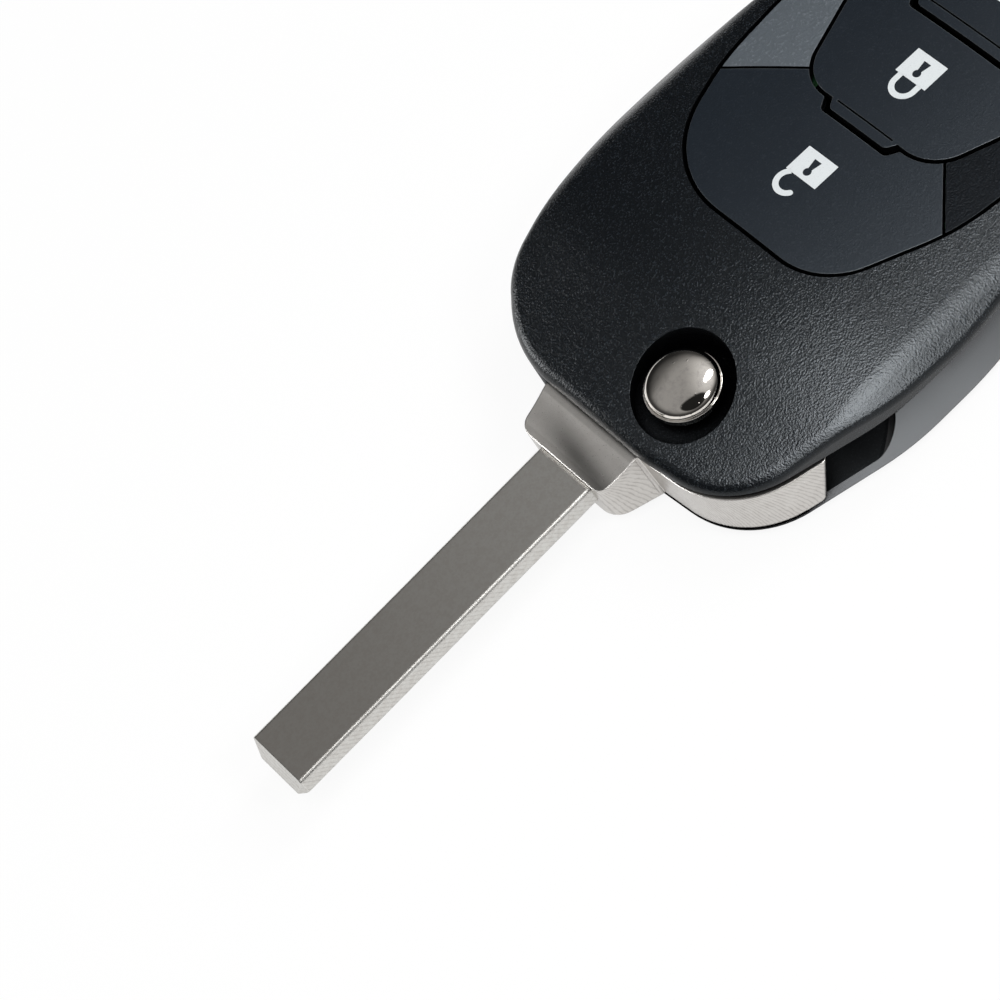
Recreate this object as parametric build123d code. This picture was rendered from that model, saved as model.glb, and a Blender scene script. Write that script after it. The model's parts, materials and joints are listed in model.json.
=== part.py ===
from build123d import *
from math import asin, cos, radians, sin
import os

# Flip remote key with the blade swung open. Sizes are in millimetres.
# +X runs from the blade to the key-ring end, +Z comes out of the buttons.
# The blade swings about a vertical pivot towards -Y and folds into the case.
# While it is modelled, X starts at the blade's root in the metal block.

# Levels of the stack, from the flat back upwards
rear_floor = 1.6
carrier_bottom = 1.9
carrier_height = 6.0
blade_thickness = 2.6
blade_drop = 0.8
parting_gap = 0.1
carrier_top = carrier_bottom + carrier_height
parting_z = carrier_top + parting_gap
blade_top = carrier_top - blade_drop
blade_bottom = blade_top - blade_thickness

# Blade and its pivot
pivot_x = 12.7
pivot_y = -5.8
blade_length = 40.9
blade_width = 7.6
blade_edge = 0.25
blade_tang = 5.0
tip_chamfer = 0.9
tip_slant = 0.9
block_front = -0.15
block_left = 6.5
block_left_root = 8.0
block_left_round = 2.0
block_right = -5.5
block_right_round = 1.2
lobe_round = 2.6
lobe_front = -5.15
lobe_root = -6.95
waist_length = 3.6
waist_depth = 0.12
carrier_reach = 17.1
tail_reach = 15.3
tail_end_x = 17.0
tail_round = 0.8
tail_lean = 1.6
pocket_clearance = 0.35
slot_reach = 18.8
slot_round = 1.4
hub_radius = 8.6
running_gap = 0.05
face_gap = 0.15

# Case outline and crown
case_front = 5.0
end_room = 13.0
tip_clearance = 0.7
channel_end = 2 * pivot_x + blade_length + tip_clearance
case_end = channel_end + end_room
case_length = case_end - case_front
case_half_width = 23.2
case_wall = 1.6
shell_top = 2.0
rear_edge_radius = 2.0
front_edge_radius = 1.5
parting_chamfer = 0.4
nose_level = 9.9
nose_run = 17.9
hump_x = case_front + nose_run
hump_level = 14.7
pad_slope = 0.075
hump_radius = 45.0
crown_rise = 2.83
crown_radius = case_half_width ** 2 / (2 * crown_rise)
shoulder_inset = 3.35
shoulder_radius = 4.0
shoulder_angle = 45.0
shoulder_start = case_half_width - shoulder_inset
# Outline corners: share of the length, then half width and rounding as shares of the half width
left_corners = [(0.0, 0.556, 0.647), (0.085, 0.88, 0.388), (0.181, 0.945, 1.509), (0.42, 1.017, 2.586)]
right_corners = [(0.0, 0.28, 0.862), (0.019, 0.754, 0.448), (0.255, 0.987, 1.293), (0.387, 1.0, 1.94)]
far_corners = [(0.627, 0.922, 2.371), (0.86, 0.698, 1.207), (1.0, 0.28, 0.388)]
rear_right_corners = [
    (0.0, 0.28, 0.862), (0.011, 0.772, 0.448), (0.255, 0.99, 1.293),
    (0.387, 1.0, 1.94)]

# Release button and latch
button_radius = 4.05
well_radius = 5.6
well_floor = 9.4
button_rest = 11.6
button_rim = 0.7
button_dome = 1.2
press_travel = 1.2
plunger_radius = 3.0
plunger_height = 4.3
plunger_cup_radius = 2.5
plunger_cup_depth = 1.8
stem_radius = 2.0
stem_depth = 1.5
top_boss_radius = 4.9
top_boss_depth = 1.0
rear_boss_radius = 3.4
rear_boss_bore = 2.6
rear_boss_height = 1.25
stop_gap = 0.25
plunger_bottom = carrier_bottom + rear_boss_height + press_travel + stop_gap
spring_radius = 1.95
spring_wire = 0.5
spring_turns = 5
plunger_top = plunger_bottom + plunger_height
pivot = (pivot_x, pivot_y)

# Blade channel along the right side
ledge_top = 3.1
ledge_foot = 1.0
ledge_inset = 3.1
ledge_width = 4.4
channel_wall = 1.0
blade_clearance = 0.5
folded_side = 2 * pivot_y + blade_width / 2 + blade_clearance

# Button pad: corners as for the case outline
pad_left_corners = [
    (0.3, 0.569, 0.56), (0.48, 0.78, 1.078), (0.64, 0.832, 0.776),
    (0.79, 0.62, 0.388), (0.84, 0.26, 0.216)]
pad_right_corners = [
    (0.3, 0.44, 0.345), (0.48, 0.685, 1.078), (0.64, 0.74, 0.776),
    (0.79, 0.6, 0.388), (0.84, 0.26, 0.216)]
pad_front = case_front + 0.3 * case_length
pad_end = case_front + 0.84 * case_length
pad_gap = 0.45
pad_sink = 0.15
cap_thickness = 1.0
press_unlock = 0.4
flange_width = 1.3
flange_thickness = 0.6
left_seam = [(0.465, 0.746), (0.537, 0.384)]
right_seam = [(0.459, 0.654), (0.541, 0.403)]
seam_gap = 0.3
seam_overrun = 0.15
column_corners = [(0.522, 0.384, 0.207), (0.687, 0.582, 0.345), (0.893, 0.237, 0.129)]
lock_front = case_front + 0.522 * case_length
boot_front = case_front + 0.711 * case_length
tab_length = 1.15
tab_gap = 0.65
tab_slope = 0.6
tab_round = 0.8
lock_tab_half = 3.9
boot_tab_half = 5.9
groove_width = 0.2
groove_depth = 0.25
nub_radius = 1.6
panel_thickness = cap_thickness + press_unlock + 0.1
flange_drop = pad_sink + panel_thickness

# Electronics
tray_bottom = 7.3
tray_thickness = 0.4
board_thickness = 0.8
board_front = pad_front + 3.5
board_end = pad_end - 2.1
board_side_room = 11.2
board_half_width = case_half_width - board_side_room
board_clip = 1.5
switch_size = 4.6
switch_height = 0.6
switch_lid = 0.15
switch_clip = 0.5
mat_inset = 1.5
mat_thickness = 0.4
mat_half_width = board_half_width - 2 * mat_inset
mat_round = 3.0
cell_radius = 10.0
cell_can = 1.2
cell_step = 0.5
cell_thickness = 3.2
cell_x = lock_front + 2.8
cell_y = board_half_width - 3.4
cup_wall = 1.0
cup_top = 4.0
unlock_x = (pad_front + lock_front) / 2
lock_x = (lock_front + boot_front) / 2
boot_x = (boot_front + pad_end) / 2
chip_size = 5.0
chip_height = 0.5
chip_x = (unlock_x + lock_x - chip_size) / 2
chip_y = 3.4
crystal_length = 3.2
crystal_width = 2.5
crystal_x = (lock_x + boot_x - crystal_length) / 2
crystal_y = -board_half_width + 4.4
coil_length = 11.0
coil_width = 2.6
coil_height = 1.6
coil_x = board_front + coil_width
coil_y = -board_half_width + running_gap
contact_thickness = 0.25
contact_half = 1.0
contact_pad = 5.0
leg_room = 0.5
plus_leg_x = cell_x - cell_radius - 2.2
minus_leg_x = cell_x + cell_radius + 1.9
post_radius = 1.3
post_inset = 2.3
post_left = board_half_width + 0.5
post_right = folded_side + channel_wall + 0.7
tray_top = tray_bottom + tray_thickness
board_top = tray_top + board_thickness
switch_top = board_top + switch_height
mat_top = switch_top + mat_thickness

# Key-ring eye
eye_inset = 5.6
eye_radius = 2.5
eye_boss = 4.3
eye = (case_end - eye_inset, 0)
cell = (cell_x, cell_y)

# Pin that holds the blade in its block, let in from below
pin_radius = 0.8
pin_x = 3.0
pin_sink = 0.3
pin_at = (pin_x, 0)

# Heights and widths that only reach past the solids they cut
above = 2 * hump_level
beyond = 2 * case_half_width


def spot(along, across):
    """Point at a share of the case's length and of its half width."""
    return (case_front + along * case_length, across * case_half_width)


def outline(left, right):
    """Closed face through the left corners and back along the right ones."""
    points = [spot(along, across) for along, across, _ in left]
    points += [spot(along, -across) for along, across, _ in right[::-1]]
    radii = [r * case_half_width for _, _, r in left + right[::-1]]
    return make_face(FilletPolyline(*points, radius=radii, close=True))


def prism(face, low, high):
    """Straight solid on a face of the XY plane between two heights."""
    return extrude(Pos(0, 0, low) * face, amount=high - low, dir=(0, 0, 1))


def disc(radius, low, high, at=pivot):
    """Round solid about a vertical axis."""
    return Pos(at[0], at[1], (low + high) / 2) * Cylinder(radius, high - low)


def block(x0, x1, y0, y1, z0, z1):
    """Rectangular solid between two corners."""
    centre = Pos((x0 + x1) / 2, (y0 + y1) / 2, (z0 + z1) / 2)
    return centre * Box(x1 - x0, y1 - y0, z1 - z0)


def crown_body():
    """Everything below the front face, swept from nose to ring end."""
    rise = (hump_level - nose_level) / (hump_x - case_front)
    start = (-nose_run, 0, nose_level - rise * (case_front + nose_run))
    far_x = case_end + end_room
    far = (far_x, 0, hump_level - pad_slope * (far_x - hump_x))
    path = FilletPolyline(start, (hump_x, 0, hump_level), far, radius=hump_radius)
    first = asin(shoulder_start / crown_radius)
    last = radians(shoulder_angle)

    def rolled(angle):
        """Point of the shoulder arc where the surface leans by an angle."""
        out = shoulder_start + shoulder_radius * (sin(angle) - sin(first))
        down = crown_radius * (1 - cos(first)) + shoulder_radius * (cos(first) - cos(angle))
        return out, -down

    top = (shoulder_start, rolled(first)[1])
    middle = rolled((first + last) / 2)
    end = rolled(last)
    edge_y = case_half_width + shoulder_radius
    skirt = (edge_y, end[1] - (edge_y - end[0]))
    left = [(-y, z) for y, z in (top, middle, end)]
    section = make_face([
        ThreePointArc(left[0], (0, 0), top),
        ThreePointArc(top, middle, end),
        Polyline(end, skirt, (edge_y, -above), (-edge_y, -above), (-skirt[0], skirt[1]), left[2]),
        ThreePointArc(left[2], left[1], left[0]),
    ])
    plane = Plane(origin=path @ 0, x_dir=(0, 1, 0), z_dir=path % 0)
    return sweep(plane * section, path)


def rim_of(solid):
    """Edges where the crowned front face meets the upright walls."""
    def key(edge):
        c = edge.center()
        return (round(c.X, 3), round(c.Y, 3), round(c.Z, 3))

    wall_keys = {key(e) for f in solid.faces() if abs(f.normal_at().Z) < 0.02 for e in f.edges()}
    crowned = [f for f in solid.faces() if f.normal_at().Z > 0.3]
    return [e for f in crowned for e in f.edges() if key(e) in wall_keys]


case_face = outline(left_corners + far_corners, right_corners + far_corners)
rear_face = outline(left_corners + far_corners, rear_right_corners + far_corners)
inner_face = offset(case_face, amount=-case_wall)
crown = crown_body()


def below_crown(drop):
    """Everything below the front face lowered by a distance."""
    return Pos(0, 0, -drop) * crown


# Button pad: one opening shared by three caps and two fixed side panels
pad_face = outline(pad_left_corners, pad_right_corners)
pad_inside = offset(pad_face, amount=-pad_gap)
column_face = outline(column_corners, column_corners)
column_hole = offset(column_face, amount=pad_gap)


def tab_face(root, half, grow):
    """Raised finger tab ahead of a button's own front edge."""
    front = root - tab_length - grow
    back = root + tab_length
    low = half + grow
    high = low + tab_slope * (back - front)
    corners = [(front, low), (back, high), (back, -high), (front, -low)]
    return make_face(FilletPolyline(*corners, radius=tab_round, close=True))


def half_plane(side):
    """Large rectangle on one side of the key's middle line."""
    return Pos(case_end / 2, side * beyond / 2) * Rectangle(2 * case_end, beyond)


def zone_before_seams():
    """Area ahead of the slanted seams between the first cap and the panels."""
    ends = []
    for side, (outer, inner) in ((1, left_seam), (-1, right_seam)):
        run = (outer[0] - inner[0], outer[1] - inner[1])
        near = spot(inner[0] - seam_overrun * run[0], side * (inner[1] - seam_overrun * run[1]))
        far = spot(inner[0] + 2 * run[0], side * (inner[1] + 2 * run[1]))
        ends.append((near, far))
    (left_near, left_far), (right_near, right_far) = ends
    corners = [(pivot_x, left_far[1]), left_far, left_near,
               right_near, right_far, (pivot_x, right_far[1])]
    return make_face(Polyline(*corners, close=True))


front_zone = zone_before_seams()
front_zone_hole = offset(front_zone, amount=seam_gap)
far_zone = Pos(boot_front + beyond / 2, 0) * Rectangle(beyond, beyond)
far_zone_hole = Pos(-pad_gap, 0) * far_zone
lock_tab = tab_face(lock_front, lock_tab_half, 0)
boot_tab = tab_face(boot_front, boot_tab_half, 0)

unlock_face = (pad_inside & front_zone) - column_hole - tab_face(lock_front, lock_tab_half, tab_gap)
lock_face = (column_face & pad_inside) - far_zone_hole - tab_face(boot_front, boot_tab_half, tab_gap)
lock_face += lock_tab
boot_face = (column_face & pad_inside & far_zone) + boot_tab
panel_zone = pad_inside - column_hole - front_zone_hole


def cap(face, thickness):
    """Plate that follows the front face, sunk a little below it."""
    plate = prism(face, 0, above) & below_crown(pad_sink)
    return plate - below_crown(pad_sink + thickness)


def button(face, at_x):
    """Button cap with the nub that presses its switch."""
    nub = disc(nub_radius, mat_top, above, (at_x, 0)) & below_crown(pad_sink + cap_thickness / 2)
    return cap(face, cap_thickness) + nub


def tabbed_button(face, at_x, root, half):
    """Button whose finger tab is set off by a shallow groove."""
    groove = prism(Pos(root, 0) * Rectangle(groove_width, 2 * half), 0, above)
    return button(face, at_x) - (groove - below_crown(pad_sink + groove_depth))


def front_case():
    """Crowned upper shell with the button well, pad opening and flange."""
    shell = prism(case_face, parting_z, above)
    shell = chamfer(shell.faces().sort_by(Axis.Z)[0].edges(), parting_chamfer)
    shell = fillet(rim_of(shell & crown), front_edge_radius)
    shell -= prism(inner_face, parting_z, above) & below_crown(shell_top)
    shell += disc(well_radius + case_wall, parting_z, above) & below_crown(shell_top / 2)
    shell += disc(top_boss_radius, carrier_top - top_boss_depth, well_floor)
    shell += disc(eye_boss, parting_z, above, eye) & below_crown(shell_top / 2)
    shell -= prism(pad_face, parting_z, above)
    ring = offset(pad_face, amount=flange_width) - offset(pad_face, amount=-flange_width)
    flange = prism(ring, parting_z, above) & below_crown(flange_drop)
    shell += flange - below_crown(flange_drop + flange_thickness)
    shell -= disc(well_radius, well_floor, above)
    shell -= disc(plunger_radius + running_gap, 0, above)
    shell -= disc(eye_radius, 0, above, eye)
    return shell


def carrier_pocket():
    """Space in the rear case that the block and its tail sweep through."""
    low, high = rear_floor, parting_z + case_wall
    pocket = disc(carrier_reach + pocket_clearance, low, high)
    pocket &= block(-beyond, beyond, -beyond, block_left_root + parting_gap, 0, above)
    pocket += disc(tail_reach + face_gap, low, high)
    slot = disc(slot_reach, low, high)
    slot = fillet(slot.edges().sort_by(Axis.Z)[0], slot_round)
    return pocket + (slot & block(pivot_x, beyond, -beyond, pivot_y - blade_tang, 0, above))


def rear_case():
    """Lower tray with the blade channel, carrier pocket and inner posts."""
    tray = prism(rear_face, 0, parting_z)
    tray = fillet(tray.faces().sort_by(Axis.Z)[0].edges(), rear_edge_radius)
    tray -= prism(inner_face, rear_floor, above)
    wall_end = channel_end + channel_wall
    fill = prism(rear_face, rear_floor, ledge_top)
    fill -= prism(offset(rear_face, amount=-ledge_width), 0, above)
    tray += fill & block(pivot_x, wall_end, -beyond, folded_side, 0, above)
    rib_start = pivot_x + carrier_reach + 2 * pocket_clearance
    rib_side = folded_side + channel_wall
    tray += block(rib_start, channel_end, folded_side, rib_side, rear_floor, tray_bottom)
    end_rib = block(channel_end, wall_end, -beyond, rib_side, rear_floor, tray_bottom)
    tray += end_rib & prism(inner_face, 0, above)
    ledge = prism(rear_face, -rear_floor, ledge_top)
    ledge = chamfer(ledge.faces().sort_by(Axis.Z)[-1].edges(), ledge_top - ledge_foot, ledge_inset)
    tray -= block(pivot_x, channel_end, -beyond, folded_side, ledge_foot, above) - ledge
    tray -= carrier_pocket()
    tray += disc(rear_boss_radius, rear_floor / 2, carrier_bottom + rear_boss_height)
    tray -= disc(rear_boss_bore, rear_floor, parting_z)
    cup = disc(cell_radius + running_gap + cup_wall, rear_floor, cup_top, cell)
    cup -= disc(cell_radius + running_gap, 0, above, cell)
    notch = 2 * contact_half
    notch_x = cell_x + cell_radius - cup_wall
    tray += cup - block(notch_x, minus_leg_x, cell_y - notch, cell_y + notch, 0, above)
    for x in (board_front + post_inset, board_end - post_inset):
        for y in (post_left, post_right):
            tray += disc(post_radius, rear_floor, tray_bottom, (x, y))
    tray += disc(eye_boss, rear_floor, parting_z, eye)
    tray -= disc(eye_radius, -rear_floor, above, eye)
    return tray


def block_half():
    """Front of the block: an eased left corner and a lobe that flares downwards."""
    def plan(level, right_front, right_root, right_round):
        corners = [(block_front, block_left), (case_front, block_left_root), pivot,
                   (case_front, right_root), (block_front, right_front)]
        radii = [block_left_round, face_gap, face_gap, face_gap, right_round]
        return Pos(0, 0, level) * make_face(FilletPolyline(*corners, radius=radii, close=True))

    low = plan(carrier_bottom, lobe_front, lobe_root, lobe_round)
    high = plan(carrier_top, block_right, block_right, block_right_round)
    return loft([low, high], ruled=True)


def tail_half():
    """Arc of metal behind the nose that closes the corner of the case."""
    flush = offset(rear_face, amount=-face_gap)
    start = block_right + 2 * tail_round
    tail = make_face(Polyline(
        (case_front, start), pivot, (tail_end_x, pivot_y), (tail_end_x, -beyond), (0, -beyond),
        (0, start), close=True))
    tail = tail & flush & (Pos(*pivot) * Circle(tail_reach))
    arc = prism(tail, carrier_bottom, carrier_top)
    foot = tail_end_x - tail_lean
    lean = make_face(Polyline(
        (foot, -beyond, carrier_bottom), (tail_end_x, -beyond, carrier_top),
        (tail_end_x + tail_lean, -beyond, carrier_bottom), close=True))
    arc -= extrude(lean, amount=beyond, dir=(0, 1, 0))
    corner = Vertex(foot + tail_lean / 2, -beyond, (carrier_bottom + carrier_top) / 2)
    arc = fillet(arc.edges().sort_by_distance(corner)[0], tail_round)
    hub = (Pos(*pivot) * Circle(hub_radius)) & flush
    return arc + prism(hub, carrier_bottom, carrier_top)


def blade_carrier():
    """Metal block on the pivot that grips the blade and closes the case corner."""
    body = block_half() + tail_half()
    half = blade_width / 2
    body -= block(-beyond, block_front + blade_tang, -half, half, blade_bottom, blade_top)
    body -= disc(plunger_radius + running_gap, 0, above)
    body -= disc(rear_boss_radius + running_gap, 0, carrier_bottom + rear_boss_height + running_gap)
    body -= disc(top_boss_radius + running_gap, carrier_top - top_boss_depth - running_gap, above)
    body -= disc(pin_radius, 0, blade_top, pin_at)
    waist_radius = ((waist_length / 2) ** 2 + waist_depth ** 2) / (2 * waist_depth)
    middle = (block_front + case_front) / 2
    roller = Pos(middle, 0, carrier_top - waist_depth + waist_radius) * Rot(90, 0, 0)
    return body - roller * Cylinder(waist_radius, beyond)


def key_blade():
    """Plain uncut bar with eased edges and a slanted, clipped tip."""
    half = blade_width / 2
    bar = block(-blade_length, block_front + blade_tang, -half, half, blade_bottom, blade_top)
    tip = bar.edges().filter_by(Axis.Z).group_by(Axis.X)[0]
    bar = chamfer(tip, tip_chamfer)
    long_edges = [e for e in bar.edges().filter_by(Axis.X)]
    bar = chamfer(long_edges, blade_edge)
    face = make_face(Polyline(
        (-blade_length, -half, blade_bottom), (-blade_length + tip_slant, -half, blade_top),
        (-blade_length - tip_slant, -half, blade_top), close=True))
    bar -= extrude(face, amount=blade_width, dir=(0, 1, 0))
    return bar - disc(pin_radius, 0, above, pin_at)


def release_button():
    """Domed chrome push button on a short stem."""
    low = button_rest
    high = low + button_rim
    dome_radius = (button_radius ** 2 + button_dome ** 2) / (2 * button_dome)
    centre = Pos(pivot_x, pivot_y, high + button_dome - dome_radius)
    dome = (centre * Sphere(dome_radius)) & disc(button_radius, high, high + button_dome)
    stem = disc(stem_radius, plunger_top - stem_depth, low)
    return disc(button_radius, low, high) + dome + stem


def latch_plunger():
    """Sliding latch that carries the button and sits on the spring."""
    body = disc(plunger_radius, plunger_bottom, plunger_top)
    body -= disc(plunger_cup_radius, 0, plunger_bottom + plunger_cup_depth)
    return body - disc(stem_radius, plunger_top - stem_depth, above)


def flip_spring():
    """Coil that lifts the latch and swings the blade open."""
    low = rear_floor + spring_wire / 2
    high = plunger_bottom + plunger_cup_depth - spring_wire / 2
    path = Helix((high - low) / spring_turns, high - low, spring_radius)
    start = Plane(origin=path @ 0, z_dir=path % 0)
    coil = sweep(start * RegularPolygon(spring_wire / 2, 6), path, is_frenet=True)
    return Pos(pivot_x, pivot_y, low) * coil


def board_tray():
    """Plate that closes the blade channel and carries the board."""
    plate = prism(offset(inner_face, amount=-pocket_clearance), tray_bottom, tray_top)
    plate &= block(board_front, channel_end + channel_wall, -beyond, beyond, 0, above)
    side = contact_half + leg_room
    for x in (plus_leg_x, minus_leg_x):
        far = x + contact_thickness + leg_room
        plate -= block(x - leg_room, far, cell_y - side, cell_y + side, 0, above)
    return plate


def circuit_board():
    """Rectangular board with clipped corners."""
    half = board_half_width
    board = block(board_front + leg_room, board_end, -half, half, tray_top, board_top)
    return chamfer(board.edges().filter_by(Axis.Z), board_clip)


def tact_switch(at_x):
    """Low switch body with its round actuator."""
    half = switch_size / 2
    body = block(at_x - half, at_x + half, -half, half, board_top, switch_top - switch_lid)
    body = chamfer(body.edges().filter_by(Axis.Z), switch_clip)
    return body + disc(post_radius, board_top, switch_top, (at_x, 0))


def keypad_mat():
    """Thin rubber sheet between the switches and the button nubs."""
    sheet = block(board_front + mat_inset, board_end - mat_inset, -mat_half_width, mat_half_width,
                  switch_top, mat_top)
    return fillet(sheet.edges().filter_by(Axis.Z), mat_round)


def on_board(x, y, length, width, height):
    """Plain component on the board, given by its low corner and its size."""
    return block(x, x + length, y, y + width, board_top, board_top + height)


def coin_cell():
    """Button cell with its narrower negative can."""
    low = rear_floor + contact_thickness
    can = disc(cell_radius - cell_can, low, low + cell_step, cell)
    return can + disc(cell_radius, low + cell_step, low + cell_thickness, cell)


def contact_strip(x0, x1, leg_x, low):
    """Flat strip along the cell with a leg that rises to the board."""
    high = low + contact_thickness
    side_0, side_1 = cell_y - contact_half, cell_y + contact_half
    strip = block(x0, x1, side_0, side_1, low, high)
    return strip + block(leg_x, leg_x + contact_thickness, side_0, side_1, low, tray_top)


def minus_contact():
    """Strip under the cell that rises to the board."""
    strip = contact_strip(cell_x, minus_leg_x + contact_thickness, minus_leg_x, rear_floor)
    return strip + disc(contact_pad, rear_floor, rear_floor + contact_thickness, cell)


def plus_contact():
    """Strip over the cell that hangs from the board."""
    low = rear_floor + contact_thickness + cell_thickness
    return contact_strip(plus_leg_x, cell_x, plus_leg_x, low)


nodes = {
    "front_case": front_case(),
    "rear_case": rear_case(),
    "board_tray": board_tray(),
    "circuit_board": circuit_board(),
    "unlock_switch": tact_switch(unlock_x),
    "lock_switch": tact_switch(lock_x),
    "boot_switch": tact_switch(boot_x),
    "keypad_mat": keypad_mat(),
    "unlock_button": button(unlock_face, unlock_x),
    "lock_button": tabbed_button(lock_face, lock_x, lock_front, lock_tab_half),
    "boot_button": tabbed_button(boot_face, boot_x, boot_front, boot_tab_half),
    "left_panel": cap(panel_zone & half_plane(1), panel_thickness),
    "right_panel": cap(panel_zone & half_plane(-1), panel_thickness),
    "radio_chip": on_board(chip_x, chip_y, chip_size, chip_size, chip_height),
    "crystal": on_board(crystal_x, crystal_y, crystal_length, crystal_width, chip_height),
    "antenna_coil": on_board(coil_x, coil_y, coil_length, coil_width, coil_height),
    "coin_cell": coin_cell(),
    "plus_contact": plus_contact(),
    "minus_contact": minus_contact(),
    "blade_carrier": blade_carrier(),
    "key_blade": key_blade(),
    "blade_pin": disc(pin_radius, carrier_bottom + pin_sink, blade_top, pin_at),
    "release_button": release_button(),
    "latch_plunger": latch_plunger(),
    "flip_spring": flip_spring(),
}

# The origin lies under the middle of the key, on the surface that it rests on
middle_x = (case_end - blade_length) / 2
os.makedirs("parts", exist_ok=True)
for name, solid in nodes.items():
    export_step(Pos(-middle_x, 0, 0) * solid, f"parts/{name}.step")
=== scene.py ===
"""Looks of a flip remote key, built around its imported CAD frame. Lengths are metres."""
import json
import logging
import math
from collections.abc import Callable
from dataclasses import dataclass
from enum import Enum

import bpy
import numpy as np
from mathutils import Matrix, Vector


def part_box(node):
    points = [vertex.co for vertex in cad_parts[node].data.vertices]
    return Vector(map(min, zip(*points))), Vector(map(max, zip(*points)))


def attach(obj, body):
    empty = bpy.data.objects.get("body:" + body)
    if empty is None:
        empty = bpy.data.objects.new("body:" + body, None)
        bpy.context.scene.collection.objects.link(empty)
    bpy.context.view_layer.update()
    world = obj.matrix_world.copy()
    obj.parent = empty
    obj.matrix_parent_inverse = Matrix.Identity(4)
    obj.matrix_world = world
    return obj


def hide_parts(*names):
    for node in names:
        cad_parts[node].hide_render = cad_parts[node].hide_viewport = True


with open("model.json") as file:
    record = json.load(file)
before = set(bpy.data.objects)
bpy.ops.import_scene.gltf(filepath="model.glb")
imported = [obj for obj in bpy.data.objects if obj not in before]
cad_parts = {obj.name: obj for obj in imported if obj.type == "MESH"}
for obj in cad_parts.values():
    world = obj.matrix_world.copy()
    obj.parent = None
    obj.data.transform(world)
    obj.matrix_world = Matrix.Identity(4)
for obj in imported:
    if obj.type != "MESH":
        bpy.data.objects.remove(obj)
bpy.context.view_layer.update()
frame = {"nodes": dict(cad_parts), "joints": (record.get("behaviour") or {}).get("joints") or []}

MM = 0.001
SCREEN_TOP = 255
SCREEN_KNEE = 0.04045
SCREEN_SLOPE = 12.92
SCREEN_OFFSET = 0.055
SCREEN_POWER = 2.4
WHITE = (1.0, 1.0, 1.0, 1.0)
log = logging.getLogger("flip_key")

Colour = tuple[float, float, float, float]
Triple = tuple[float, float, float]
Pair = tuple[float, float]
Array = np.ndarray


def shade(red: float, green: float, blue: float) -> Colour:
    """Turns a colour written as screen values from 0 to 255 into a linear one.

    Args:
        red, green, blue: the screen values.

    Returns:
        ((v + offset) / (1 + offset)) ** power of each value v from 0 to 1, or v / slope below the knee.
    """
    values = np.array([red, green, blue]) / SCREEN_TOP
    curve = ((values + SCREEN_OFFSET) / (1 + SCREEN_OFFSET)) ** SCREEN_POWER
    linear = np.where(values > SCREEN_KNEE, curve, values / SCREEN_SLOPE)
    return (*linear.tolist(), 1.0)


def joint_point(name: str) -> Vector:
    """The point on a joint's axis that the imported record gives."""
    return Vector(next(joint["pos_m"] for joint in frame["joints"] if joint["name"] == name))


@dataclass(frozen=True)
class Signal:
    """A node's output socket that can be used in sums."""

    graph: "Graph"
    socket: bpy.types.NodeSocket

    def maths(self, operation: str, *terms: "Signal | float") -> "Signal":
        """One Math node on these terms, or on this signal if there are none."""
        inputs = dict(enumerate(terms or (self,)))
        return self.graph.node("ShaderNodeMath", {"operation": operation}, inputs)

    def __add__(self, other: "Signal | float") -> "Signal":
        """self + other"""
        return self.maths("ADD", self, other)

    def __radd__(self, other: "Signal | float") -> "Signal":
        """other + self"""
        return self.maths("ADD", other, self)

    def __sub__(self, other: "Signal | float") -> "Signal":
        """self - other"""
        return self.maths("SUBTRACT", self, other)

    def __rsub__(self, other: "Signal | float") -> "Signal":
        """other - self"""
        return self.maths("SUBTRACT", other, self)

    def __mul__(self, other: "Signal | float") -> "Signal":
        """self * other"""
        return self.maths("MULTIPLY", self, other)

    def __rmul__(self, other: "Signal | float") -> "Signal":
        """other * self"""
        return self.maths("MULTIPLY", other, self)

    def __pow__(self, other: "Signal | float") -> "Signal":
        """self ** other"""
        return self.maths("POWER", self, other)

    def wave(self) -> "Signal":
        """(1 + sin(self)) / 2"""
        return 0.5 * self.maths("SINE", self) + 0.5

    def between(self, low: float, high: float) -> "Signal":
        """Smooth step from 0 at low to 1 at high."""
        limits = {"Value": self, "From Min": low, "From Max": high}
        return self.graph.node("ShaderNodeMapRange", {"interpolation_type": "SMOOTHSTEP"}, limits)


Value = Signal | float | Colour | Triple


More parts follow.
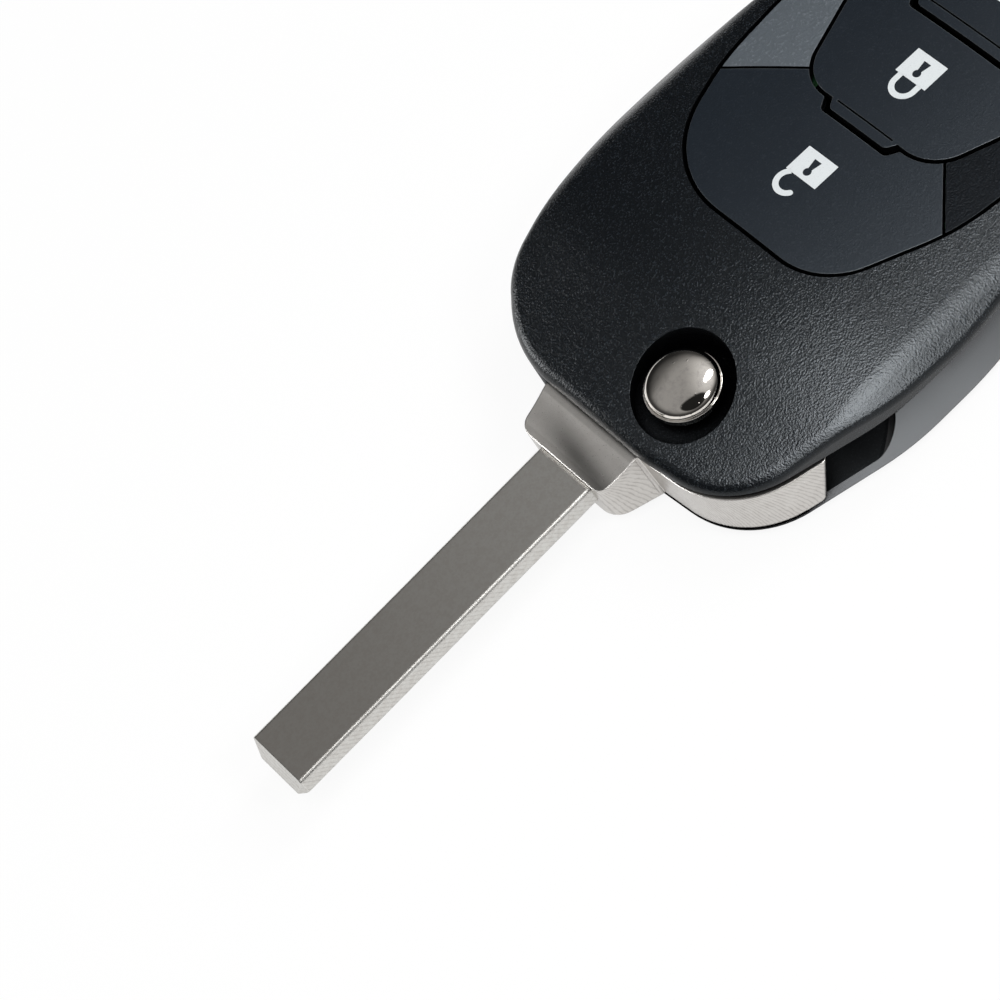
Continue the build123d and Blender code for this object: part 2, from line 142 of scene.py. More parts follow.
class Graph:
    """The node tree of one material or of the world."""

    mix_inputs, mix_output = (0, 6, 7), 2
    samples = 6
    bent_edge = (0.02, 0.16)
    open_share = (0.5, 0.95)

    def __init__(self, tree: bpy.types.NodeTree) -> None:
        """Empties the tree."""
        self.tree = tree
        tree.nodes.clear()

    def node(self, kind: str, settings: dict[str, object] | None = None,
             inputs: dict[str | int, Value] | None = None, output: str | int = 0) -> Signal:
        """Adds one node.

        Args:
            kind: the node's type.
            settings: its attributes, which are set first.
            inputs: its sockets by name or number, each a value or a signal to link.
            output: the output socket that is wanted.

        Returns:
            That output as a signal, or the first one if the node has no outputs to give.
        """
        made = self.tree.nodes.new(kind)
        for name, value in (settings or {}).items():
            setattr(made, name, value)
        for name, value in (inputs or {}).items():
            if isinstance(value, Signal):
                self.tree.links.new(value.socket, made.inputs[name])
            else:
                made.inputs[name].default_value = value
        return Signal(self, made.outputs[output] if made.outputs else None)

    def place(self) -> Signal:
        """A point's place in the object, which is its place in the frame."""
        return self.node("ShaderNodeTexCoord", output="Object")

    def axes(self, where: Signal) -> tuple[Signal, Signal, Signal]:
        """The three numbers of a vector."""
        first = self.node("ShaderNodeSeparateXYZ", inputs={0: where})
        return tuple(Signal(self, first.socket.node.outputs[i]) for i in range(3))

    def noise(self, where: Signal, size: float, detail: float = 2.0, rough: float = 0.5) -> Signal:
        """Noise from 0 to 1 whose blotches are about size across."""
        values = {"Vector": where, "Scale": 1 / size, "Detail": detail, "Roughness": rough}
        return self.node("ShaderNodeTexNoise", inputs=values)

    def blend(self, first: Value, second: Value, factor: Value) -> Signal:
        """Colour between two colours."""
        values = dict(zip(self.mix_inputs, (factor, first, second)))
        return self.node("ShaderNodeMix", {"data_type": "RGBA"}, values, self.mix_output)

    def dot(self, first: Value, second: Value) -> Signal:
        """Dot product of two vectors."""
        settings, inputs = {"operation": "DOT_PRODUCT"}, {0: first, 1: second}
        return self.node("ShaderNodeVectorMath", settings, inputs, "Value")

    def rounded(self, radius: float) -> Signal:
        """The surface's normal with its edges eased to a radius."""
        return self.node("ShaderNodeBevel", {"samples": self.samples}, {"Radius": radius})

    def edges(self, radius: float) -> Signal:
        """1 on an edge and 0 away from it: 1 - (eased normal . true normal), stretched."""
        true = self.node("ShaderNodeNewGeometry", output="Normal")
        return (1 - self.dot(self.rounded(radius), true)).between(*self.bent_edge)

    def open_sky(self, reach: float) -> Signal:
        """1 in the open and 0 deep in a hole, by rays that go no further than reach."""
        settings, inputs = {"samples": self.samples}, {"Distance": reach}
        return self.node("ShaderNodeAmbientOcclusion", settings, inputs, "AO").between(*self.open_share)

    def upright(self) -> Signal:
        """How far up the surface's true normal points, from -1 to 1."""
        return self.axes(self.node("ShaderNodeNewGeometry", output="True Normal"))[2]

    def towards(self, direction: Triple) -> Signal:
        """Cosine of the angle between the world's direction and this one."""
        way = self.node("ShaderNodeTexCoord", output="Generated")
        return self.dot(way, Vector(direction).normalized())

    def bump(self, height: Signal, depth: float, normal: Signal | None = None) -> Signal:
        """Normal of a surface raised by height times depth.

        Args:
            height: how high the point stands, as a share of depth.
            depth: the full height.
            normal: the normal that is bent, or none for the surface's own.

        Returns:
            The bent normal.
        """
        values = {"Height": height, "Distance": depth, "Strength": 1.0}
        if normal is not None:
            values["Normal"] = normal
        return self.node("ShaderNodeBump", inputs=values)


@dataclass(frozen=True)
class Finish:
    """What all finishes share: a name, a base colour and a roughness.

    Layers are a noise's detail and roughness, and a range holds the two ends of a smooth step.
    """

    name: str
    base: Colour
    rough: float

    def sockets(self, graph: Graph, where: Signal) -> dict[str, Value]:
        """The shader's sockets that this finish sets.

        Args:
            graph: the material's nodes.
            where: the point's place.

        Returns:
            A value or a signal for each socket's name.
        """
        raise NotImplementedError

    def material(self) -> bpy.types.Material:
        """Looks up this finish's material, or makes it the first time that it is asked for.

        Returns:
            The Blender material.
        """
        made = bpy.data.materials.get(self.name)
        if made is not None:
            return made
        made = bpy.data.materials.new(self.name)
        made.use_nodes = True
        made.diffuse_color = self.base
        graph = Graph(made.node_tree)
        shader = graph.node("ShaderNodeBsdfPrincipled", inputs=self.sockets(graph, graph.place()))
        graph.node("ShaderNodeOutputMaterial", inputs={"Surface": shader})
        return made

    def dress(self, piece: bpy.types.Object) -> None:
        """Gives a piece this finish and no other."""
        piece.data.materials.clear()
        piece.data.materials.append(self.material())


@dataclass(frozen=True)
class GrainedPlastic(Finish):
    """Spark-eroded moulded plastic: fine grain with flecks, and painted shade that turns it black in a
    deep hole.

    Shine and tone are the level and tint of its reflection, and hole is how far the painted shade looks
    for walls.
    """

    fleck: Colour = (0.06, 0.07, 0.08, 1.0)
    # pale edge colour: partly wear, partly painted highlight
    edge: Colour = (0.11, 0.12, 0.125, 1.0)
    # painted shade: the colour that deep holes are painted in
    painted_hole_shade: Colour = (0.0004, 0.0004, 0.0005, 1.0)
    flecks: float = 0.5
    edge_wear_and_highlight: float = 0.3
    burnish: float = 0.55
    grain: float = 0.2 * MM
    depth: float = 0.065 * MM
    easing: float = 0.14 * MM
    shine: float = 0.25
    tone: Colour = (0.9, 0.96, 1.0, 1.0)
    hole: float = 5 * MM
    hole_rough: float = 0.7
    fine_layers: Pair = (1.5, 0.6)
    clump_layers: Pair = (3.0, 0.6)
    clump_size: float = 3.0
    clump_share: float = 0.25
    clump_height: float = 0.5
    fleck_range: Pair = (0.54, 0.66)
    grained_lean: Pair = (0.35, 0.8)
    unevenness: float = 0.14

    def skin(self, graph: Graph, fine: Signal, clump: Signal, edge_line: Signal) -> Signal:
        """Colour of the moulded skin before the painted shade of holes.

        Args:
            graph: the material's nodes.
            fine, clump: the two noises of the grain.
            edge_line: 1 on an edge, where the pale colour is partly wear and partly painted highlight.

        Returns:
            The colour.
        """
        speck = ((1 - self.clump_share) * fine + self.clump_share * clump).between(*self.fleck_range)
        flecked = graph.blend(self.base, self.fleck, speck * self.flecks)
        # pale edges: partly wear, partly painted highlight
        return graph.blend(flecked, self.edge, edge_line * self.edge_wear_and_highlight)

    def sockets(self, graph: Graph, where: Signal) -> dict[str, Value]:
        """Grain as bump, flecks as colour, smoother edges. Painted shade in holes: black metal there takes
        away their gloss.

        Args:
            graph: the material's nodes.
            where: the point's place.

        Returns:
            A value or a signal for each socket's name.
        """
        fine = graph.noise(where, self.grain, *self.fine_layers)
        clump = graph.noise(where, self.clump_size * self.grain, *self.clump_layers)
        # painted shade: 1 deep in a hole, where the skin is painted black and loses its gloss
        hole_shade_share = 1 - graph.open_sky(self.hole)
        # 1 on an edge: smoother there, and paler by wear and painted highlight
        edge_line = graph.edges(self.easing)
        height = (fine + self.clump_height * clump) * graph.upright().between(*self.grained_lean)
        rough = (self.rough + self.unevenness * (fine - 0.5)) * (1 - self.burnish * edge_line)
        return {
            "Base Color": graph.blend(self.skin(graph, fine, clump, edge_line), self.painted_hole_shade, hole_shade_share),
            "Metallic": hole_shade_share,
            "Roughness": rough + self.hole_rough * hole_shade_share,
            "Specular IOR Level": self.shine,
            "Specular Tint": self.tone,
            "Normal": graph.bump(height, self.depth, graph.rounded(self.easing)),
        }


@dataclass(frozen=True)
class RearPlastic(GrainedPlastic):
    """The rear case's plastic, smooth, with a painted sheen that makes the slope beside the blade's slot
    paler.
    """

    # painted sheen: the paler colour of the slope
    slope: Colour = (0.06, 0.06, 0.062, 1.0)
    lean: tuple[float, float, float, float] = (0.6, 0.7, 0.93, 0.97)

    def skin(self, graph: Graph, fine: Signal, clump: Signal, edge_line: Signal) -> Signal:
        """The moulded skin, with a painted sheen on the slope, picked out by how far its normal stands up.

        Args:
            graph: the material's nodes.
            fine, clump: the two noises of the grain.
            edge_line: 1 on an edge.

        Returns:
            The colour.
        """
        upright = graph.upright()
        first, full, fade, last = self.lean
        # painted sheen on faces that lean like the slope
        painted_sheen = upright.between(first, full) * (1 - upright.between(fade, last))
        return graph.blend(GrainedPlastic.skin(self, graph, fine, clump, edge_line), self.slope, painted_sheen)


class Marks(Enum):
    """How a cutter's marks run over a metal piece."""

    LENGTHWISE = "lengthwise"
    DIAGONAL = "diagonal"
    BLOCK = "block"
    TURNED = "turned"


@dataclass(frozen=True)
class BlockMarks:
    """Cutter marks of the cast block: slanted arcs on its round tail and a fan on its lobe.

    Places are counted from the blade's pivot.
    """

    tail_radius: float = 15 * MM
    tail_slant: float = 0.45
    tail_curl: float = 40.0
    tail_from: Pair = (-8.05 * MM, -7.95 * MM)
    fan_behind: float = 13.2 * MM
    fan_up: float = 4.6 * MM
    fan_radius: float = 4.2 * MM
    fan_slant: float = 0.35

    def phase(self, x: Signal, y: Signal, z: Signal) -> Signal:
        """Distance across the marks.

        Args:
            x, y, z: the place from the pivot.

        Returns:
            R atan2(y, x) + s z + c z^2 on the tail and r atan2(v, u) + t u on the lobe, with u and v
            the distances behind and above the fan's corner.
        """
        arc = y.maths("ARCTAN2", y, x) * self.tail_radius + self.tail_slant * z + self.tail_curl * z * z
        over, along = z - self.fan_up, x + self.fan_behind
        fan = over.maths("ARCTAN2", over, along) * self.fan_radius + self.fan_slant * along
        on_arc = x.between(*self.tail_from)
        return arc * on_arc + fan * (1 - on_arc)


@dataclass(frozen=True)
class CutMetal(Finish):
    """Satin metal with cutter marks, fine mottle and a painted highlight on its eased edges.

    A band is a soft dark reflection across a level top, and dusk is painted shade: a level top
    darkens from dusk_ends[1] to dusk_ends[0] along the key.
    """

    tint: Colour = (0.5, 0.47, 0.44, 1.0)
    # painted highlight on the eased edges
    edge: Colour = (0.9, 0.88, 0.85, 1.0)
    # darker colour along the cutter marks
    mark_tone: Colour = (0.12, 0.11, 0.1, 1.0)
    marks: Marks = Marks.LENGTHWISE
    pitch: float = 0.3 * MM
    depth: float = 0.004 * MM
    easing: float = 0.1 * MM
    painted_edge_highlight: float = 0.7
    centre: Triple = (0.0, 0.0, 0.0)
    diagonal: Pair = (0.8, 0.6)
    mottle: float = 0.35
    mottle_range: Pair = (0.4, 0.62)
    speck: float = 0.12 * MM
    speck_layers: Pair = (3.0, 0.65)
    speck_share: float = 0.6
    speck_height: float = 0.35
    blotch: float = 0.9 * MM
    blotch_layers: Pair = (3.0, 0.6)
    bend: float = 1.4 * MM
    bend_share: float = 0.35
    faintest: float = 0.4
    streak: float = 0.0
    streak_range: Pair = (0.35, 0.95)
    unevenness: float = 0.16
    sides: bool = False
    side_lean: Pair = (0.5, 0.8)
    level_lean: Pair = (0.9, 0.99)
    band: float = 0.0
    band_colour: Colour = (0.13, 0.127, 0.12, 1.0)
    band_place: float = 12.4 * MM
    band_lean: float = 0.18
    band_half: float = 2.3 * MM
    band_fade: Pair = (5 * MM, 13 * MM)
    # painted shade: a level top darkened along the key
    dusk: float = 0.0
    dusk_colour: Colour = (0.215, 0.19, 0.165, 1.0)
    dusk_ends: Pair = (-58 * MM, -10 * MM)
    dusk_least: float = 0.25
    sway: float = 0.0

    def phase(self, graph: Graph, where: Signal) -> Signal:
        """Distance across the marks for the chosen way that they run.

        Args:
            graph: the material's nodes.
            where: the point's place.

        Returns:
            The distance in metres.
        """
        x, y, z = graph.axes(where)
        x, y, z = x - self.centre[0], y - self.centre[1], z - self.centre[2]
        if self.marks is Marks.DIAGONAL:
            return self.diagonal[0] * x + self.diagonal[1] * z
        if self.marks is Marks.BLOCK:
            return BlockMarks().phase(x, y, z)
        if self.marks is Marks.TURNED:
            return (x * x + y * y) ** 0.5
        return y

    def sockets(self, graph: Graph, where: Signal) -> dict[str, Value]:
        """Mottled colour, and marks as sin(phase / pitch) bent by noise.

        Args:
            graph: the material's nodes.
            where: the point's place.

        Returns:
            A value or a signal for each socket's name.
        """
        fine = graph.noise(where, self.speck, *self.speck_layers)
        blotch = graph.noise(where, self.blotch, *self.blotch_layers)
        bend = graph.noise(where, self.bend) * (self.bend_share * self.pitch + self.sway)
        lines = ((self.phase(graph, where) + bend) * (math.tau / self.pitch)).wave()
        lines = lines * (self.faintest + (1 - self.faintest) * blotch)
        if self.sides:
            lines = lines * (1 - graph.upright().between(*self.side_lean))
        mottle = self.speck_share * fine + (1 - self.speck_share) * blotch
        return {
            "Base Color": self.colour(graph, where, mottle, lines),
            "Metallic": 1.0,
            "Roughness": self.rough + self.unevenness * (fine - 0.5),
            "Normal": graph.bump(lines + self.speck_height * fine, self.depth, graph.rounded(self.easing)),
        }

    def colour(self, graph: Graph, where: Signal, mottle: Signal, lines: Signal) -> Signal:
        """Mottle, then a darker tone in the marks, then the band or the painted dusk shade, then the
        painted edge highlight.

        Args:
            graph: the material's nodes.
            where: the point's place.
            mottle: noise that mixes the tint in.
            lines: how deep the point lies in a cutter mark.

        Returns:
            The colour.
        """
        body = graph.blend(self.base, self.tint, mottle.between(*self.mottle_range) * self.mottle)
        seen = graph.blend(body, self.mark_tone, lines.between(*self.streak_range) * self.streak)
        if self.band:
            x, y, _ = graph.axes(where)
            out = y - self.centre[1]
            off = (x - self.centre[0] + self.band_place - self.band_lean * out).maths("ABSOLUTE")
            near = 1 - (off * (1 / self.band_half)).between(0, 1)
            top = graph.upright().between(*self.level_lean) * (1 - out.between(*self.band_fade))
            seen = graph.blend(seen, self.band_colour, near * top * self.band)
        # painted shade on level tops, darker towards the tip
        if self.dusk:
            far = 1 - graph.axes(where)[0].between(*self.dusk_ends)
            share = self.dusk_least + (1 - self.dusk_least) * far
            level = graph.upright().between(*self.level_lean)
            seen = graph.blend(seen, self.dusk_colour, share * level * self.dusk)
        # painted highlight along the edges
        return graph.blend(seen, self.edge, graph.edges(self.easing) * self.painted_edge_highlight)


@dataclass(frozen=True)
class Polished(Finish):
    """Plated metal with a near mirror surface, faint dimples and smears."""

    dull: float = 0.12
    dull_range: Pair = (0.5, 0.85)
    smeared: Colour = shade(208, 203, 198)
    smear: float = 0.8 * MM
    smear_layers: Pair = (3.0, 0.6)
    smear_range: Pair = (0.45, 0.75)
    dimple: float = 0.5 * MM
    dimple_detail: float = 1.0
    dimple_range: Pair = (0.68, 0.8)
    dimple_depth: float = 0.01 * MM

    def sockets(self, graph: Graph, where: Signal) -> dict[str, Value]:
        """Smears as roughness and dimples as bump.

        Args:
            graph: the material's nodes.
            where: the point's place.

        Returns:
            A value or a signal for each socket's name.
        """
        smear = graph.noise(where, self.smear, *self.smear_layers)
        dimple = graph.noise(where, self.dimple, self.dimple_detail).between(*self.dimple_range)
        return {
            "Base Color": graph.blend(self.base, self.smeared, smear.between(*self.smear_range)),
            "Metallic": 1.0,
            "Roughness": self.rough + self.dull * smear.between(*self.dull_range),
            "Normal": graph.bump(dimple, self.dimple_depth),
        }


@dataclass(frozen=True)
class Print(Finish):
    """Opaque printed ink with a faint screen grain."""

    thin: Colour = shade(186, 192, 196)
    thin_range: Pair = (0.5, 0.85)
    grain: float = 0.12 * MM
    grain_layers: Pair = (3.0, 0.6)
    unevenness: float = 0.1
    depth: float = 0.006 * MM

    def sockets(self, graph: Graph, where: Signal) -> dict[str, Value]:
        """Slightly uneven ink.

        Args:
            graph: the material's nodes.
            where: the point's place.

        Returns:
            A value or a signal for each socket's name.
        """
        grain = graph.noise(where, self.grain, *self.grain_layers)
        return {
            "Base Color": graph.blend(self.base, self.thin, grain.between(*self.thin_range)),
            "Roughness": self.rough + self.unevenness * grain,
            "Normal": graph.bump(grain, self.depth),
        }


@dataclass(frozen=True)
class Laminate(Finish):
    """Solder mask over a glass-fibre board, with copper runs that show as paler bands."""

    copper: Colour = (0.05, 0.16, 0.06, 1.0)
    pitch: float = 1.6 * MM
    patch: float = 6 * MM
    patch_detail: float = 0.0
    patch_edge: Pair = (0.48, 0.52)
    run_edge: Pair = (0.7, 0.75)
    run_share: float = 0.8
    run_depth: float = 0.02 * MM
    weave: float = 0.2 * MM
    unevenness: float = 0.1
    coat: float = 0.3

    def sockets(self, graph: Graph, where: Signal) -> dict[str, Value]:
        """Bands of copper along both axes, switched by a coarse noise.

        Args:
            graph: the material's nodes.
            where: the point's place.

        Returns:
            A value or a signal for each socket's name.
        """
        patch = graph.noise(where, self.patch, self.patch_detail).between(*self.patch_edge)
        waves = [(axis * (math.tau / self.pitch)).wave() for axis in graph.axes(where)[:2]]
        along, across = (wave.between(*self.run_edge) for wave in waves)
        runs = along * patch + across * (1 - patch)
        weave = graph.noise(where, self.weave)
        shown = runs * self.run_share + weave * (1 - self.run_share)
        return {
            "Base Color": graph.blend(self.base, self.copper, shown),
            "Roughness": self.rough + self.unevenness * weave,
            "Normal": graph.bump(runs, self.run_depth),
            "Coat Weight": self.coat,
        }


CASE = GrainedPlastic("grained_case", shade(4, 7, 11), 0.26, fleck=shade(38, 44, 50), edge_wear_and_highlight=0.0,
                      burnish=0.0, easing=0.05 * MM, depth=0.06 * MM, shine=0.68,
                      tone=(0.33, 0.35, 0.365, 1.0))
REAR = RearPlastic("rear_moulding", shade(10, 11, 13), 0.45, flecks=0.1, depth=0.006 * MM,
                   edge=(0.3, 0.3, 0.3, 1.0), edge_wear_and_highlight=0.5, shine=0.17)
PAD = GrainedPlastic("grained_pad", shade(18, 24, 31), 0.4, fleck=shade(38, 44, 50), depth=0.025 * MM,
                     flecks=0.35, edge_wear_and_highlight=0.6, shine=0.17)
LEFT = GrainedPlastic("left_panel_plastic", shade(62, 68, 74), 0.5, fleck=shade(92, 98, 104), flecks=0.6,
                      shine=0.6, grain=0.32 * MM)
RIGHT = GrainedPlastic("right_panel_plastic", shade(5, 7, 11), 0.38, fleck=shade(22, 28, 34), shine=0.05)
INNER = GrainedPlastic("inner_moulding", shade(52, 53, 56), 0.5, fleck=shade(60, 61, 64), depth=0.008 * MM)
RUBBER = GrainedPlastic("grey_rubber", shade(90, 92, 95), 0.75, fleck=shade(100, 102, 104),
                        depth=0.006 * MM)
CHIP = GrainedPlastic("chip_epoxy", shade(28, 28, 30), 0.45, fleck=shade(34, 34, 36), depth=0.004 * MM)
BLADE = CutMetal("milled_blade", shade(208, 207, 203), 0.32, marks=Marks.DIAGONAL, pitch=0.5 * MM,
                 depth=0.006 * MM, streak=0.26, sides=True, easing=0.32 * MM, mottle=0.5, speck=0.3 * MM,
                 dusk=0.52)
BLOCK = CutMetal("cast_block", shade(206, 203, 199), 0.3, marks=Marks.BLOCK, pitch=0.45 * MM,
                 depth=0.012 * MM, centre=tuple(joint_point("blade_flip")), streak=0.42, sides=True,
                 band=0.88, easing=0.2 * MM, sway=0.3 * MM)
STEEL = CutMetal("drawn_steel", shade(180, 180, 182), 0.28)
CELL = CutMetal("turned_cell", shade(205, 205, 207), 0.25, marks=Marks.TURNED)
CONTACT = CutMetal("contact_tin", shade(212, 208, 198), 0.3)
SWITCH = CutMetal("switch_steel", shade(200, 200, 202), 0.3)
CHROME = Polished("bright_plating", shade(226, 221, 214), 0.05)
INK = Print("sign_ink", shade(214, 219, 221), 0.6)
BOARD = Laminate("green_board", (0.01, 0.09, 0.035, 1.0), 0.4)


class Surface:
    """Meshes from grids of points."""

    @staticmethod
    def quads(rows: int, columns: int, round_rows: bool) -> Array:
        """The quads of a grid.

        Args:
            rows, columns: how many points it has each way.
            round_rows: whether the last row joins the first.

        Returns:
            Four corner numbers for each quad.
        """
        row = np.arange(rows if round_rows else rows - 1)[:, None]
        column = np.arange(columns - 1)[None, :]
        after = (row + 1) % rows
        corners = (row, column), (after, column), (after, column + 1), (row, column + 1)
        return np.stack([r * columns + c for r, c in corners], axis=-1).reshape(-1, len(corners))

    @staticmethod
    def piece(name: str, points: Array, faces: Array | list, smooth: bool) -> bpy.types.Object:
        """Puts points and faces into a new object at the origin.

        Args:
            name: the piece's name.
            points: n by 3 array of places in the frame.
            faces: corner numbers of each face.
            smooth: whether its shading is smooth.

        Returns:
            The object, linked to the scene.
        """
        mesh = bpy.data.meshes.new(name)
        listed = faces.tolist() if isinstance(faces, np.ndarray) else faces
        mesh.from_pydata(points.reshape(-1, 3).tolist(), [], listed)
        mesh.polygons.foreach_set("use_smooth", np.full(len(mesh.polygons), smooth))
        mesh.update()
        made = bpy.data.objects.new(name, mesh)
        bpy.context.scene.collection.objects.link(made)
        return made

    @classmethod
    def turned(cls, name: str, profile: Array, centre: Vector, steps: int = 128) -> bpy.types.Object:
        """A profile (r, z) turned about an upright axis: (r cos t, r sin t, z) at each angle t.

        Args:
            name: the piece's name.
            profile: n by 2 array from the lowest point on the axis to the highest one.
            centre: the point of the axis at height 0.
            steps: how many angles.

        Returns:
            The closed piece.
        """
        angle = np.linspace(0, math.tau, steps, endpoint=False)[:, None]
        radius, height = profile[1:-1, 0], profile[1:-1, 1]
        ring = np.stack([radius * np.cos(angle), radius * np.sin(angle), height + 0 * angle], axis=-1)
        poles = np.array([[0, 0, profile[0, 1]], [0, 0, profile[-1, 1]]])
        points = np.concatenate([ring.reshape(-1, 3), poles]) + np.array(centre)
        columns = len(radius)
        faces = cls.quads(steps, columns, True).tolist()
        here = np.arange(steps)
        after = (here + 1) % steps
        foot, last = steps * columns, columns - 1
        top = np.full(steps, foot + 1)
        faces += np.stack([np.full(steps, foot), after * columns, here * columns], axis=-1).tolist()
        faces += np.stack([here * columns + last, after * columns + last, top], axis=-1).tolist()
        return cls.piece(name, points, faces, True)

    @classmethod
    def inlay(cls, x: Array, y: Array, level: Callable[[Array, Array], Array], thickness: float,
              ring: bool) -> tuple[Array, Array]:
        """A thin closed plate over a grid of (x, y), with its top at level(x, y).

        Args:
            x, y: places of the grid's points, rows by columns.
            level: the height of the surface at places.
            thickness: how deep the plate reaches below its top.
            ring: whether the last row joins the first.

        Returns:
            The plate's points and its quads.
        """
        rows, columns = x.shape
        top = np.stack([x, y, level(x, y)], axis=-1).reshape(-1, 3)
        under = top - np.array([0, 0, thickness])
        upper = cls.quads(rows, columns, ring)
        count = rows * columns
        grid = np.arange(count).reshape(rows, columns)
        if ring:
            loops = [np.append(grid[:, 0], grid[0, 0]), np.append(grid[:, -1], grid[0, -1])[::-1]]
        else:
            loops = [np.concatenate([grid[:, 0], grid[-1, 1:], grid[-2::-1, -1], grid[0, -2::-1]])]
        walls = [np.stack([a[1:], a[:-1], a[:-1] + count, a[1:] + count], axis=-1) for a in loops]
        faces = np.concatenate([upper, upper[:, ::-1] + count, *walls])
        points = np.concatenate([top, under])
        edge_a, edge_b = top[upper[0, 1]] - top[upper[0, 0]], top[upper[0, 3]] - top[upper[0, 0]]
        return points, faces if np.cross(edge_a, edge_b)[2] > 0 else faces[:, ::-1]


@dataclass
class PadFace:
    """The caps' crowned front face, fitted to their CAD nodes: z = a + b x + c y^2."""

    nodes: tuple[str, ...] = ("unlock_button", "lock_button")
    upright: float = 0.95
    straight_from: float = 12 * MM
    groove: float = 0.04 * MM
    rounds: int = 4

    def __post_init__(self) -> None:
        """Fits the three numbers by least squares to the corners of the faces that look up.

        Each round leaves out the corners that lie further from the fit than the grooves' depth.
        """
        places = []
        for name in self.nodes:
            mesh = frame["nodes"][name].data
            normal = np.empty(len(mesh.polygons) * 3)
            centre = np.empty(len(mesh.vertices) * 3)
            corners = np.empty(len(mesh.polygons) * 3, dtype=int)
            mesh.polygons.foreach_get("normal", normal)
            mesh.vertices.foreach_get("co", centre)
            mesh.polygons.foreach_get("vertices", corners)
            up = normal.reshape(-1, 3)[:, 2] > self.upright
            places.append(centre.reshape(-1, 3)[corners.reshape(-1, 3)[up].ravel()])
        found = np.concatenate(places)
        x, y, z = found[found[:, 0] > self.straight_from].T
        terms = np.stack([np.ones_like(x), x, y * y], axis=-1)
        near = np.ones_like(x, dtype=bool)
        for _ in range(self.rounds):
            self.fit = np.linalg.lstsq(terms[near], z[near], rcond=None)[0]
            left_over = z - terms @ self.fit
            near = np.abs(left_over - np.median(left_over)) < self.groove
        log.info("pad face: %s", self.fit)

    def level(self, proud: float) -> Callable[[Array, Array], Array]:
        """The face raised by a distance, as a function of x and y."""
        a, b, c = self.fit
        return lambda x, y: a + b * x + c * y * y + proud


